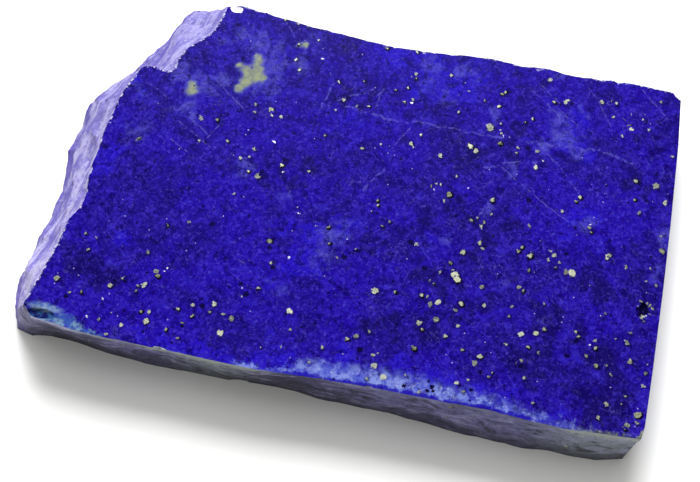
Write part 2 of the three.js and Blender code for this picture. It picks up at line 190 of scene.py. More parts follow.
# Pale veins, which wander, and straight saw scratches, each a run of pixels
VEINS = [
    [(352, 108), (370, 113), (387, 120), (412, 122), (427, 124), (449, 128), (475, 133), (497, 137)],
    [(489, 167), (507, 163), (529, 162)],
    [(530, 142), (565, 147), (600, 151), (628, 161)],
    [(344, 98), (365, 92)],
    [(376, 108), (380, 96)],
    [(330, 92), (322, 106)],
    [(481, 212), (490, 202)],
    [(367, 186), (377, 176)],
]
SCRATCHES = [
    [(221, 85), (241, 106)],
    [(154, 87), (164, 95)],
    [(171, 139), (184, 149)],
    [(185, 126), (204, 142)],
    [(195, 122), (206, 133)],
    [(207, 138), (216, 129)],
    [(535, 93), (556, 112)],
    [(609, 105), (627, 122)],
    [(548, 92), (556, 100)],
    [(283, 16), (291, 30)],
    [(395, 145), (405, 134)],
    [(560, 110), (571, 120)],
    [(600, 104), (607, 118)],
    [(506, 171), (547, 206), (562, 217)],
    [(546, 152), (564, 172), (576, 190)],
    [(647, 95), (661, 111)],
    [(592, 92), (601, 104)],
]
LINE_REACH = 0.9 * MM  # from a vein or scratch, the faces that may show it

STIR_SEED = 5  # of the noise that pushes the soft patches about


def camera_axes():
    """The picture's rightward, upward and backward directions."""
    back = Vector((
        math.sin(AZIMUTH) * math.cos(ELEVATION),
        -math.cos(AZIMUTH) * math.cos(ELEVATION),
        math.sin(ELEVATION),
    ))  # fmt: skip
    right = Vector((math.cos(AZIMUTH), math.sin(AZIMUTH), 0))
    return right, back.cross(right), back


def on_sawn_face(across, down):
    """The place on the sawn upper face that the photo has at a pixel."""
    right, up, back = camera_axes()
    eye = AIM + back * CAMERA_DISTANCE
    ray = right * (across - PICTURE_WIDTH / 2) - up * (down - PICTURE_HEIGHT / 2) - back * FOCAL_PIXELS
    return eye + ray * ((HIGH.z - eye.z) / ray.z)


def make_camera():
    right, up, back = camera_axes()
    data = bpy.data.cameras.new("camera")
    data.lens, data.sensor_width = LENS, SENSOR
    data.clip_start, data.clip_end = 10 * MM, 20.0
    camera = bpy.data.objects.new("camera", data)
    bpy.context.scene.collection.objects.link(camera)
    turn = Matrix((right, up, back)).transposed().to_4x4()
    camera.matrix_world = Matrix.Translation(AIM + back * CAMERA_DISTANCE) @ turn
    bpy.context.scene.camera = camera


# The stone's mesh


def is_in_hollow(place):
    """Whether a place just below the sawn face is in one of its hollows."""
    if place.z < HIGH.z - 0.6 * MM:
        return False
    return any((on_sawn_face(across, down) - place).length < reach * MM
               for across, down, reach in (CORNER_HOLLOW, DIMPLE_WITH_PAINTED_HIGHLIGHT, PIT_WITH_PAINTED_SHADE))


def kind_of(face):
    """Which of the stone's surfaces a face belongs to."""
    heights = [v.co.z for v in face.verts]
    if min(heights) > HIGH.z - 0.02 * MM:
        return UPPER
    if max(heights) < LOW.z + 0.02 * MM:
        return UNDER
    if face.normal.x > 0.985 and min(v.co.x for v in face.verts) > HIGH.x - 1.4 * MM:
        return SAWN_END
    if is_in_hollow(face.calc_center_median()) and face.normal.z > 0.2:
        return HOLLOW
    return WALL


def cut_into_cells(bm, kinds):
    """Cuts the upper face and the walls by upright planes a cell apart, and the walls by level ones too."""
    spans = [(0, LOW.x, HIGH.x), (1, LOW.y, HIGH.y), (2, LOW.z, HIGH.z)]
    for axis, start, end in spans:
        direction = Vector((0, 0, 0))
        direction[axis] = 1
        for k in range(1, int((end - start) / CELL) + 1):
            place = direction * (start + k * CELL)
            crossed = [
                f
                for f in bm.faces
                if f[kinds] != UNDER
                and not (axis == 2 and f[kinds] in (UPPER, HOLLOW))
                and min(v.co[axis] for v in f.verts) < place[axis] < max(v.co[axis] for v in f.verts)
            ]
            edges_and_verts = [part for f in crossed for part in (*f.edges, *f.verts)]
            parts = list(dict.fromkeys(crossed + edges_and_verts))
            bmesh.ops.bisect_plane(bm, geom=parts, dist=0.004 * MM, plane_co=place, plane_no=direction)


def split_rim(bm, kinds):
    """Splits the long edges round the sawn upper face, so that the rim can be nibbled finely."""
    rim = [
        e
        for e in bm.edges
        if len(e.link_faces) == 2
        and sum(f[kinds] == UPPER for f in e.link_faces) == 1
        and e.calc_length() > RIM_STEP
    ]
    for cuts in (1, 2, 3):
        chosen = [e for e in rim if round(e.calc_length() / RIM_STEP) - 1 == cuts]
        bmesh.ops.subdivide_edges(bm, edges=chosen, cuts=cuts)


def skin_share(place):
    """How far a place on the walls is on the natural skin, from 0 to 1."""
    from_front = (place.y - LOW.y) / MM
    from_left = (place.x - LOW.x) / MM
    front = min(max((3.4 - from_front) / 1.6, 0), 1)
    return front * min(max((from_left - 0.4) / 2.2, 0), 1)


def rough(place, size):
    """Uneven relief from -1 to 1: scoops with ridges between them, and finer grain on top."""
    spot = place / (size * MM)
    scoops = noise.voronoi(spot)[0][0] * 2 - 0.9
    grain = noise.fractal(spot * 2.3, 0.8, 2.1, 4)
    return 0.62 * scoops + 0.5 * grain


def room_at(v, rim):
    """How far a vertex of the sawn rim can move before it reaches the far side of one of its faces."""
    gaps = [1.0]
    for f in v.link_faces:
        gaps += [(w.co - v.co).length for w in f.verts if w not in rim]
        for start, end in (e.verts for e in f.edges):
            if start not in rim and end not in rim:
                share = intersect_point_line(v.co, start.co, end.co)[1]
                gaps.append((start.co.lerp(end.co, min(max(share, 0), 1)) - v.co).length)
    return min(gaps)


def roughen_walls(bm, kinds):
    """Cuts the broken walls and the skin back by a fine relief, and nibbles the sawn rim."""
    rim = {v for v in bm.verts if {UPPER, WALL} <= {f[kinds] for f in v.link_faces}}
    moves = {}
    for v in bm.verts:
        touching = {f[kinds] for f in v.link_faces}
        if WALL not in touching or UNDER in touching or HOLLOW in touching:
            continue
        normal = sum((f.normal * f.calc_area() for f in v.link_faces if f[kinds] == WALL), Vector()).normalized()
        if UPPER in touching:
            bite = max(0, noise.noise(v.co / (0.42 * MM)) + 0.55 * noise.noise(v.co / (0.17 * MM)) + 0.1)
            deep = min(NIBBLE * (0.25 + 1.3 * bite), 0.5 * room_at(v, rim))
            moves[v] = -normal * deep - Vector((0, 0, 0.75 * deep))
        elif SAWN_END not in touching:
            below_rim = min((HIGH.z - v.co.z) / (0.8 * MM), 1)
            skin = skin_share(v.co)
            relief = WALL_RELIEF * (1 - skin) * rough(v.co, 1.5) + SKIN_RELIEF * skin * rough(v.co, 1.0)
            moves[v] = normal * (relief - 0.5 * WALL_RELIEF) * below_rim
    for v, move in moves.items():
        v.co += move
        v.co = Vector(min(max(v.co[i], LOW[i]), HIGH[i]) for i in range(3))


def drop_flaps(bm):
    """Takes out the pairs of triangles that would lie back to back where two faces share a run of the rim."""
    between = [v for v in bm.verts if len(v.link_edges) == 2]
    bmesh.ops.triangulate(bm, faces=list(dict.fromkeys(f for v in between for f in v.link_faces)))
    flaps = [v for v in between if len(v.link_edges) == 2]
    bmesh.ops.delete(bm, geom=flaps, context="VERTS")


def mesh_of_stone():
    """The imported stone's mesh, cut finer and roughened. Returns it with the kind of each of its faces."""
    bm = bmesh.new()
    bm.from_mesh(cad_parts["lapis_slice"].data)
    bmesh.ops.remove_doubles(bm, verts=bm.verts, dist=0.002 * MM)
    bm.normal_update()
    kinds = bm.faces.layers.int.new("kind")
    for f in bm.faces:
        f[kinds] = kind_of(f)
    cut_into_cells(bm, kinds)
    split_rim(bm, kinds)
    bm.normal_update()
    roughen_walls(bm, kinds)
    drop_flaps(bm)
    bm.normal_update()
    mesh = bpy.data.meshes.new("stone")
    bm.to_mesh(mesh)
    face_kinds = np.array([f[kinds] for f in bm.faces])
    bm.free()
    return mesh, face_kinds


# What the finishes read from the mesh


def point_places(mesh):
    places = np.empty(len(mesh.vertices) * 3)
    mesh.vertices.foreach_get("co", places)
    return places.reshape(-1, 3) / MM


def face_places(mesh):
    places = np.empty(len(mesh.polygons) * 3)
    mesh.polygons.foreach_get("center", places)
    return places.reshape(-1, 3) / MM


def keep_on_points(mesh, name, values):
    mesh.attributes.new(name, "FLOAT", "POINT").data.foreach_set("value", np.asarray(values, np.float32))


def keep_on_faces(mesh, name, values):
    """Keeps a vector for each face, the same at all its corners, so that it doesn't blur between faces."""
    corners = np.empty(len(mesh.polygons), int)
    mesh.polygons.foreach_get("loop_total", corners)
    spread = np.repeat(np.asarray(values, np.float32), corners, axis=0)
    mesh.attributes.new(name, "FLOAT_VECTOR", "CORNER").data.foreach_set("vector", spread.ravel())


def stirred(places):
    """The places pushed about, so that round patches on them come out ragged."""
    noise.seed_set(STIR_SEED)
    return places + 1.5 * np.array([noise.noise_vector(Vector(place) / 1.3) for place in places])


def softness_of(places, patches):
    """How strongly round soft patches cover each place, from 0 to about 1."""
    cover = np.zeros(len(places))
    for across, down, radius in patches:
        middle = np.array(on_sawn_face(across, down)) / MM
        far = np.linalg.norm(places - middle, axis=1) / radius
        cover = np.maximum(cover, np.exp(-1.4 * far**2))
    return cover


def grains_of_stone():
    """Every grain: its middle in millimetres, its radius, its tone and how dark its rim is.

    The tone is from 0 to 1 for pyrite, 2 for a white glint and -1 for a dark spot.
    """
    rng = np.random.default_rng(11)
    grains = []
    sizes = [
        (LARGE_GRAINS, 1.0, LARGE_PLACES),
        (MIDDLE_GRAINS, 0.9, MIDDLE_PLACES),
        (SMALL_GRAINS, 0.6, SMALL_PLACES),
    ]
    for radius, brightest, spots in sizes:
        for across, down in spots:
            middle = on_sawn_face(across, down) / MM
            tone = brightest * rng.uniform()
            grains.append((*middle, radius * rng.uniform(0.72, 1.15), tone, rng.uniform()))
    for radius, tone, spots in ((GLINTS, 2, GLINT_PLACES), (DARK_SPOTS, -1, DARK_PLACES)):
        for across, down in spots:
            grains.append((*(on_sawn_face(across, down) / MM), radius * rng.uniform(0.7, 1.2), tone, 0))
    for _ in range(WALL_GRAINS):
        x = rng.uniform(LOW.x, HIGH.x) / MM
        y = rng.uniform(LOW.y, HIGH.y) / MM
        z = rng.uniform(0.3, 6.2)
        side = rng.integers(4)
        if side == 0:
            x = HIGH.x / MM - rng.uniform(0, 1)
        elif side == 1:
            x = LOW.x / MM + rng.uniform(0, 5)
        elif side == 2:
            y = HIGH.y / MM - rng.uniform(0, 1.5)
        else:
            y = LOW.y / MM + rng.uniform(0, 1.2)
        grains.append((x, y, z, rng.uniform(0.12, 0.26), rng.uniform(), 0.2))
    return np.array(grains)


def keep_grains(mesh):
    """Gives each face the grain nearest to it."""
    places = face_places(mesh)
    grains = grains_of_stone()
    least = np.full(len(places), 1e9)
    chosen = np.zeros(len(places), int)
    for i, grain in enumerate(grains):
        gap = np.linalg.norm(places - grain[:3], axis=1) - grain[3]
        nearer = gap < least
        least[nearer] = gap[nearer]
        chosen[nearer] = i
    keep_on_faces(mesh, "grain_middle", grains[chosen, :3])
    keep_on_faces(mesh, "grain_nature", grains[chosen, 3:])


def keep_lines(mesh, name, lines):
    """Gives each face near a line the straight stretch nearest to it: its normal and its offset."""
    places = face_places(mesh)
    least = np.full(len(places), LINE_REACH / MM)
    stretch = np.tile([1.0, 0.0, 1000.0], (len(places), 1))
    for line in lines:
        spots = [np.array(on_sawn_face(*pixel)) / MM for pixel in line]
        for start, end in zip(spots, spots[1:]):
            run = end - start
            share = np.clip((places - start) @ run / (run @ run), 0, 1)
            gap = np.linalg.norm(places - start - share[:, None] * run, axis=1)
            normal = np.array([-run[1], run[0]]) / math.hypot(run[0], run[1])
            nearer = gap < least
            least[nearer] = gap[nearer]
            stretch[nearer] = [*normal, normal @ start[:2]]
    keep_on_faces(mesh, name, stretch)


def keep_rim_gaps(mesh, face_kinds):
    """How far each point is from the sawn rim, all round and along the front, in millimetres."""
    places = point_places(mesh)
    upper = np.zeros(len(places), bool)
    side = np.zeros(len(places), bool)
    for polygon, kind in zip(mesh.polygons, face_kinds):
        if kind == UPPER:
            upper[list(polygon.vertices)] = True
        elif kind in (WALL, SAWN_END):
            side[list(polygon.vertices)] = True
    rim = places[upper & side]
    front = rim[rim[:, 1] < LOW.y / MM + 1.9]
    for name, line in (("rim_gap", rim), ("front_gap", front)):
        gaps = np.full(len(places), 1e9)
        for spot in line[::2]:
            gaps = np.minimum(gaps, ((places - spot) ** 2).sum(1))
        keep_on_points(mesh, name, np.sqrt(gaps))


# The finishes


def paint(red, green, blue, light=1.8):
    """A colour of the photo, given as it is seen under the key light, as the shader wants it."""
    shares = [c / 255 for c in (red, green, blue)]
    linear = [c / 12.92 if c < 0.0404 else ((c + 0.055) / 1.055) ** 2.4 for c in shares]
    return (*(c / light for c in linear), 1)


def shaded_paint(red, green, blue):
    """A colour of the photo, given as it is seen in the shade of the front wall."""
    return paint(red, green, blue, light=0.8)


class Finish:
    """A material's nodes, with short ways to add what the finishes share. Lengths are in millimetres."""

    def __init__(self, name):
        self.material = bpy.data.materials.new(name)
        self.material.use_nodes = True
        self.tree = self.material.node_tree
        self.shader = self.tree.nodes["Principled BSDF"]
        coordinates = self.add("ShaderNodeTexCoord")
        self.place = self.vector("SCALE", coordinates.outputs["Object"], scale=1 / MM)
        parts = self.add("ShaderNodeSeparateXYZ")
        self.link(self.place, parts.inputs[0])
        self.x, self.y, self.z = parts.outputs

    def add(self, kind, **settings):
        node = self.tree.nodes.new(kind)
        for key, value in settings.items():
            setattr(node, key, value)
        return node

    def link(self, source, socket):
        self.tree.links.new(source, socket)

    def put(self, value, socket):
        if isinstance(value, bpy.types.NodeSocket):
            self.link(value, socket)
        else:
            socket.default_value = value

    def maths(self, operation, *values, clamp=False):
        node = self.add("ShaderNodeMath", operation=operation, use_clamp=clamp)
        for value, socket in zip(values, node.inputs):
            self.put(value, socket)
        return node.outputs[0]

    def vector(self, operation, *values, scale=None):
        node = self.add("ShaderNodeVectorMath", operation=operation)
        for value, socket in zip(values, node.inputs):
            self.put(value, socket)
        if scale is not None:
            node.inputs["Scale"].default_value = scale
        return node.outputs["Value" if operation in ("DOT_PRODUCT", "DISTANCE", "LENGTH") else "Vector"]

    def step(self, value, low, high):
        """0 below low, 1 above high, and soft between them."""
        node = self.add("ShaderNodeMapRange", interpolation_type="SMOOTHSTEP")
        for given, name in ((value, "Value"), (low, "From Min"), (high, "From Max")):
            self.put(given, node.inputs[name])
        return node.outputs["Result"]

    def elsewhere(self, seed, at=None):
        """The place moved far off, so that each noise has a part of its own."""
        return self.vector("ADD", at or self.place, (17.3 * seed, -9.1 * seed, 5.7 * seed))

    def noise(self, size, detail=3.0, roughness=0.55, distortion=0.0, seed=0.0, at=None, colour=False):
        node = self.add("ShaderNodeTexNoise")
        self.link(self.elsewhere(seed, at), node.inputs["Vector"])
        node.inputs["Scale"].default_value = 1 / size
        node.inputs["Detail"].default_value = detail
        node.inputs["Roughness"].default_value = roughness
        node.inputs["Distortion"].default_value = distortion
        return node.outputs["Color" if colour else "Fac"]

    def turned(self, angle, stretch):
        """The place turned about the upright axis and stretched along the new first axis."""
        node = self.add("ShaderNodeMapping", vector_type="TEXTURE")
        self.link(self.place, node.inputs["Vector"])
        node.inputs["Rotation"].default_value = (0, 0, angle)
        node.inputs["Scale"].default_value = stretch
        return node.outputs[0]

    def blend(self, share, under, over):
        node = self.add("ShaderNodeMix", data_type="RGBA")
        self.put(share, node.inputs["Factor"])
        self.put(under, node.inputs["A"])
        self.put(over, node.inputs["B"])
        return node.outputs["Result"]

    def times(self, *values):
        product = values[0]
        for value in values[1:]:
            product = self.maths("MULTIPLY", product, value)
        return product

    def attribute(self, name, output="Fac"):
        return self.add("ShaderNodeAttribute", attribute_name=name).outputs[output]

    def curve(self, value, stops):
        """A soft curve through stops, each a place from 0 to 1 and a height from 0 to 1."""
        return self.tints(value, [(place, (height, height, height, 1)) for place, height in stops])

    def tints(self, value, stops):
        """Colours that change softly through stops, each a place from 0 to 1 and a colour."""
        ramp = self.add("ShaderNodeValToRGB")
        ramp.color_ramp.interpolation = "EASE"
        points = ramp.color_ramp.elements
        while len(points) < len(stops):
            points.new(0.5)
        for point, (place, colour) in zip(points, stops):
            point.position = place
            point.color = colour
        self.put(value, ramp.inputs[0])
        return ramp.outputs["Color"]

    def wandering(self, size, far, seed=0.0):
        """The place, pushed about by noise, for edges that aren't smooth."""
        push = self.vector("SUBTRACT", self.noise(size, detail=2, seed=seed, colour=True), (0.5, 0.5, 0.5))
        return self.vector("ADD", self.place, self.vector("SCALE", push, scale=far))

    def relief(self, height, strength, distance, under=None):
        node = self.add("ShaderNodeBump")
        node.inputs["Strength"].default_value = strength
        node.inputs["Distance"].default_value = distance
        self.link(height, node.inputs["Height"])
        if under:
            self.link(under, node.inputs["Normal"])
        return node.outputs["Normal"]

    def finish(self, colour, roughness, metallic, normal, specular):
        self.link(colour, self.shader.inputs["Base Color"])
        self.put(roughness, self.shader.inputs["Roughness"])
        self.put(metallic, self.shader.inputs["Metallic"])
        self.link(normal, self.shader.inputs["Normal"])
        self.shader.inputs["Specular IOR Level"].default_value = specular
        return self.material


def lay_zones(f, colour):
    """Grey-navy shade, vivid zones and pale clouds, broken up by the stone's own grain."""
    grain = f.noise(0.7, detail=5, roughness=0.68, distortion=0.6, seed=19)
    drift = f.noise(2.2, detail=4, roughness=0.6, distortion=1.0, seed=21)
    unrest = f.times(f.maths("SUBTRACT", grain, 0.5), 1.1)
    unrest = f.maths("ADD", unrest, f.times(f.maths("SUBTRACT", drift, 0.5), 1.6))
    vivid = f.maths("ADD", f.attribute("vivid"), unrest)
    colour = f.blend(f.times(f.step(vivid, 0.2, 0.9), 0.85), colour, paint(40, 20, 208))
    shade = f.maths("ADD", f.attribute("shade"), unrest)
    shade = f.step(shade, 0.25, 0.85)
    colour = f.blend(f.times(shade, 0.75), colour, paint(24, 12, 94))
    cloud = f.maths("SUBTRACT", f.attribute("cloud"), unrest)
    fibre = f.noise(0.5, detail=5, roughness=0.72, distortion=1.2, seed=20)
    fibre = f.maths("ADD", 0.4, f.times(f.step(fibre, 0.42, 0.62), 0.6))
    return f.blend(f.times(f.step(cloud, 0.2, 0.9), fibre, 0.9), colour, paint(96, 93, 208)), shade


def deep_blue(f):
    """The mottled blue of the stone itself: royal blue, violet and navy at several sizes."""
    broad = f.noise(5.5, detail=2, distortion=0.4)
    colour, shade = lay_zones(f, f.blend(f.step(broad, 0.38, 0.6), paint(33, 15, 142), paint(36, 11, 170)))
    mid = f.noise(1.5, detail=4, roughness=0.6, distortion=0.7, seed=3)
    colour = f.blend(f.times(f.step(mid, 0.51, 0.66), 0.6), colour, paint(50, 34, 194))
    colour = f.blend(f.times(f.step(mid, 0.49, 0.34), 0.75), colour, paint(20, 8, 106))
    crinkle = f.noise(0.62, detail=5, roughness=0.74, distortion=1.1, seed=7)
    colour = f.blend(f.times(f.step(crinkle, 0.51, 0.66), 0.6), colour, paint(72, 56, 212))
    colour = f.blend(f.times(f.step(crinkle, 0.48, 0.34), 0.9), colour, paint(15, 1, 92))
    flecks = f.noise(0.3, detail=3, roughness=0.7, distortion=0.6, seed=11)
    colour = f.blend(f.times(f.step(flecks, 0.56, 0.72), 0.5), colour, paint(100, 90, 216))
    colour = f.blend(f.times(f.step(flecks, 0.46, 0.3), 0.7), colour, paint(11, 1, 84))
    return f.blend(f.times(shade, 0.3), colour, paint(18, 8, 84))


def lay_olive(f, colour):
    """The olive patches, with a bluish veil round them."""
    grain = f.noise(0.7, detail=5, roughness=0.68, distortion=0.6, seed=26)
    olive = f.maths("ADD", f.attribute("olive"), f.times(f.maths("SUBTRACT", grain, 0.5), 0.7))
    colour = f.blend(f.times(f.step(olive, 0.2, 0.5), 0.6), colour, paint(96, 100, 186))
    tone = f.step(f.noise(0.8, detail=4, roughness=0.65, seed=27), 0.42, 0.6)
    khaki = f.blend(tone, paint(142, 150, 134), paint(164, 174, 136))
    return f.blend(f.times(f.step(olive, 0.38, 0.78), 0.95), colour, khaki)


def share_along(f):
    """How far a place is along the stone, from 0 at the broken end to 1 at the sawn end."""
    return f.maths("DIVIDE", f.maths("SUBTRACT", f.x, LOW.x / MM), (HIGH.x - LOW.x) / MM)


def lay_front_band(f, colour):
    """The pale seam along the front edge: blue-green, then sky blue, then yellow-green at the sawn end."""
    along = share_along(f)
    width = f.curve(along, [
        (0.02, 0.26), (0.07, 0.46), (0.12, 0.4), (0.16, 0.12), (0.2, 0.0), (0.3, 0.06),
        (0.36, 0.0), (0.4, 0.16), (0.43, 0.08), (0.46, 0.2), (0.49, 0.56), (0.6, 0.62),
        (0.68, 0.64), (0.76, 0.5), (0.87, 0.32), (0.94, 0.16),
    ])  # fmt: skip
    ragged = f.noise(1.0, detail=6, roughness=0.72, distortion=0.5, seed=23)
    reach = f.times(width, 3.6)
    gap = f.maths("ADD", f.attribute("front_gap"), f.times(f.maths("SUBTRACT", ragged, 0.5), 3.0))
    inside = f.maths("DIVIDE", gap, f.maths("MAXIMUM", reach, 0.02))
    cover = f.times(f.maths("SUBTRACT", 1.0, f.step(inside, 0.3, 1.1)), f.step(reach, 0.1, 0.5))
    holes = f.noise(0.7, detail=4, roughness=0.65, distortion=0.6, seed=25)
    rare = f.maths("ADD", 0.42, f.times(f.step(along, 0.62, 0.8), 0.1))
    whole = f.step(f.maths("SUBTRACT", holes, rare), -0.06, 0.06)
    cover = f.times(cover, f.maths("ADD", 0.3, f.times(whole, 0.7)))
    sky_tone = f.step(f.noise(0.9, detail=4, seed=29), 0.4, 0.62)
    sky = f.blend(sky_tone, paint(92, 106, 220), paint(146, 162, 242))
    milky = f.step(f.noise(0.45, detail=3, roughness=0.6, seed=30), 0.54, 0.66)
    sky = f.blend(f.times(milky, 0.6), sky, paint(190, 200, 244))
    teal_tone = f.step(f.noise(0.8, detail=3, seed=31), 0.42, 0.6)
    teal = f.blend(teal_tone, paint(64, 98, 186), paint(136, 172, 200))
    leaf_tone = f.step(f.noise(0.7, detail=3, seed=33), 0.42, 0.6)
    leaf = f.blend(leaf_tone, paint(104, 112, 112), paint(168, 178, 132))
    tint = f.blend(f.step(along, 0.22, 0.32), teal, sky)
    tint = f.blend(f.step(along, 0.87, 0.94), tint, leaf)
    colour = f.blend(f.times(cover, 0.9), colour, tint)
    middle = f.times(f.step(along, 0.42, 0.46), f.maths("SUBTRACT", 1.0, f.step(along, 0.82, 0.92)))
    edge_gap = f.maths("ADD", f.attribute("front_gap"), f.times(f.maths("SUBTRACT", holes, 0.5), 0.8))
    edge_line = f.maths("SUBTRACT", 1.0, f.step(edge_gap, 0.25, 0.5))
    return f.blend(f.times(edge_line, middle, 0.92), colour, paint(34, 18, 176))


def lay_hollows(f, colour):
    """The navy groove in the front corner, the dimple with its painted white highlight and the pit with its
    painted dark shade.
    """
    tone = f.step(f.noise(0.9, detail=4, roughness=0.6, seed=34), 0.44, 0.6)
    groove = f.blend(tone, paint(16, 22, 92), paint(48, 90, 140))
    # The dimple's near-white is a painted highlight, the pit's near-black painted shade.
    shown = [(CORNER_HOLLOW, groove), (DIMPLE_WITH_PAINTED_HIGHLIGHT, paint(250, 250, 255, 1.0)), (PIT_WITH_PAINTED_SHADE, paint(14, 8, 62))]
    place = f.wandering(0.6, 0.5, seed=35)
    below = f.step(f.z, HIGH.z / MM - 0.02, HIGH.z / MM - 0.08)
    for (across, down, reach), tint in shown:
        middle = on_sawn_face(across, down) / MM
        gap = f.vector("DISTANCE", place, tuple(middle))
        near = f.maths("SUBTRACT", 1.0, f.step(gap, reach * 0.9, reach * 1.1))
        colour = f.blend(f.times(near, below), colour, tint)
    foam = f.blend(tone, paint(150, 178, 212), paint(76, 112, 190))
    streaks = (((45, 307), 0.9, 2.2, 0.75, foam), ((43, 315), 0.9, 1.7, 0.9, groove))
    flattened = f.vector("MULTIPLY", place, (1, 3.6, 1))
    for pixel, full, none, strength, tint in streaks:
        middle = on_sawn_face(*pixel) / MM
        gap = f.vector("DISTANCE", flattened, (middle.x, middle.y * 3.6, middle.z))
        colour = f.blend(f.times(f.maths("SUBTRACT", 1.0, f.step(gap, full, none)), strength), colour, tint)
    return colour


def sparse_spots(f, spacing, radius, share, seed):
    """Small round spots in only a share of the places where they could be."""
    node = f.add("ShaderNodeTexVoronoi")
    f.link(f.elsewhere(seed), node.inputs["Vector"])
    node.inputs["Scale"].default_value = 1 / spacing
    chance = f.add("ShaderNodeSeparateXYZ")
    f.link(node.outputs["Color"], chance.inputs[0])
    edge = radius / spacing
    inside = f.maths("SUBTRACT", 1.0, f.step(node.outputs["Distance"], 0.6 * edge, edge))
    return f.times(inside, f.maths("LESS_THAN", chance.outputs[0], share))


def line_cover(f, name, half_width, place):
    """How far a place is on the nearest line that the mesh holds under that name."""
    parts = f.add("ShaderNodeSeparateXYZ")
    f.link(f.attribute(name, "Vector"), parts.inputs[0])
    spot = f.add("ShaderNodeSeparateXYZ")
    f.link(place, spot.inputs[0])
    first = f.times(spot.outputs[0], parts.outputs[0])
    second = f.times(spot.outputs[1], parts.outputs[1])
    gap = f.maths("ABSOLUTE", f.maths("SUBTRACT", f.maths("ADD", first, second), parts.outputs[2]))
    return f.maths("SUBTRACT", 1.0, f.step(gap, half_width * 0.4, half_width))


def lay_lines(f, colour):
    """The pale veins and the saw's scratches."""
    vein = line_cover(f, "vein", 0.17, f.wandering(1.0, 0.9, seed=37))
    broken = f.step(f.noise(0.35, detail=3, seed=41), 0.38, 0.62)
    colour = f.blend(f.times(vein, broken, 0.5), colour, paint(112, 106, 216))
    scratch = line_cover(f, "scratch", 0.09, f.wandering(1.4, 0.3, seed=39))
    colour = f.blend(f.times(scratch, broken, 0.5), colour, paint(116, 108, 200))
    hairs = f.noise(1.0, detail=2, seed=43, at=f.turned(math.radians(-40), (2.6, 0.07, 1)))
    faint = f.times(f.step(hairs, 0.62, 0.74), f.step(f.noise(4, detail=1, seed=47), 0.45, 0.62))
    colour = f.blend(f.times(faint, 0.35), colour, paint(104, 96, 204))
    threads = f.noise(2.4, detail=3, distortion=0.8, seed=53)
    thread = f.maths("SUBTRACT", 1.0, f.step(f.maths("ABSOLUTE", f.maths("SUBTRACT", threads, 0.5)), 0.0, 0.02))
    rare = f.times(f.step(f.noise(3.2, detail=2, seed=59), 0.54, 0.66), broken)
    return f.blend(f.times(thread, rare, 0.35), colour, paint(110, 102, 214))


def grain_cover(f):
    """Where the grains are, where their dark rims are, partly painted shadow, and their tone."""
    nature = f.add("ShaderNodeSeparateXYZ")
    f.link(f.attribute("grain_nature", "Vector"), nature.inputs[0])
    radius, tone, gloom = nature.outputs
    middle = f.attribute("grain_middle", "Vector")
    place = f.wandering(0.34, 0.55, seed=61)
    gap = f.maths("SUBTRACT", f.vector("DISTANCE", place, middle), radius)
    bright = f.maths("ADD", 0.68, f.times(f.maths("ABSOLUTE", tone), 0.32), clamp=True)
    metal = f.times(f.maths("SUBTRACT", 1.0, f.step(gap, -0.05, 0.03)), bright)
    # The dark rim is shifted to the right of each grain and toward the front: partly a dark halo in the stone,
    # partly a painted shadow.
    shadow_shifted_place = f.vector("SUBTRACT", place, (0.1, -0.08, 0))
    rim_radius = f.maths("ADD", radius, f.times(gloom, 0.07))
    rim_gap = f.maths("SUBTRACT", f.vector("DISTANCE", shadow_shifted_place, middle), rim_radius)
    strength = f.maths("ADD", f.times(f.step(tone, 1.7, 1.3), gloom, 0.5), f.times(gloom, gloom, 0.5))
    strength = f.maths("ADD", strength, f.times(f.step(tone, 1.7, 1.3), 0.25), clamp=True)
    rim = f.times(f.maths("SUBTRACT", 1.0, f.step(rim_gap, -0.02, 0.14)), strength)
    return metal, rim, tone


def lay_pyrite(f, colour):
    """Pyrite set flush in the stone, each grain with painted highlights and dark reflections on it and a dark
    rim that is partly painted shadow, and the glints and dark spots.
    """
    metal, rim, tone = grain_cover(f)
    colour = f.blend(rim, colour, paint(10, 6, 34))
    # Light and dark flecks over each flush grain: painted highlights and painted dark reflections of its facets.
    facet_lights = f.noise(0.16, detail=2, seed=67)
    brass = f.blend(tone, paint(142, 146, 108), paint(214, 218, 190))
    brass = f.blend(f.times(f.step(facet_lights, 0.52, 0.62), 0.55), brass, paint(232, 234, 220))
    brass = f.blend(f.times(f.step(facet_lights, 0.46, 0.36), 0.6), brass, paint(98, 96, 84))
    brass = f.blend(f.step(tone, 1.3, 1.7), brass, paint(236, 236, 248))
    brass = f.blend(f.step(tone, -0.3, -0.7), brass, paint(14, 6, 62))
    return f.blend(metal, colour, brass), metal


def paint_rim_glints_and_shade(f, colour):
    """Painted white glints and painted dark shade of micro-chips along the upper edge of the broken end and of
    the back.
    """
    near = f.maths("SUBTRACT", 1.0, f.step(f.attribute("rim_gap"), 0.07, 0.2))
    broken_end = f.maths("SUBTRACT", 1.0, f.step(f.x, -17.0, -13.0))
    back_edge = f.times(f.step(f.y, 15.0, 16.5), 0.7)
    near = f.times(near, f.maths("MAXIMUM", broken_end, back_edge), f.step(f.attribute("front_gap"), 1.2, 2.2))
    rim_specks = f.noise(0.34, detail=2, roughness=0.6, seed=69)
    # Dark specks are painted shade in the micro-chips, white specks painted glints.
    colour = f.blend(f.times(near, f.step(rim_specks, 0.52, 0.45), 0.6), colour, paint(18, 8, 80))
    return f.blend(f.times(near, f.step(rim_specks, 0.54, 0.6)), colour, paint(226, 224, 250))


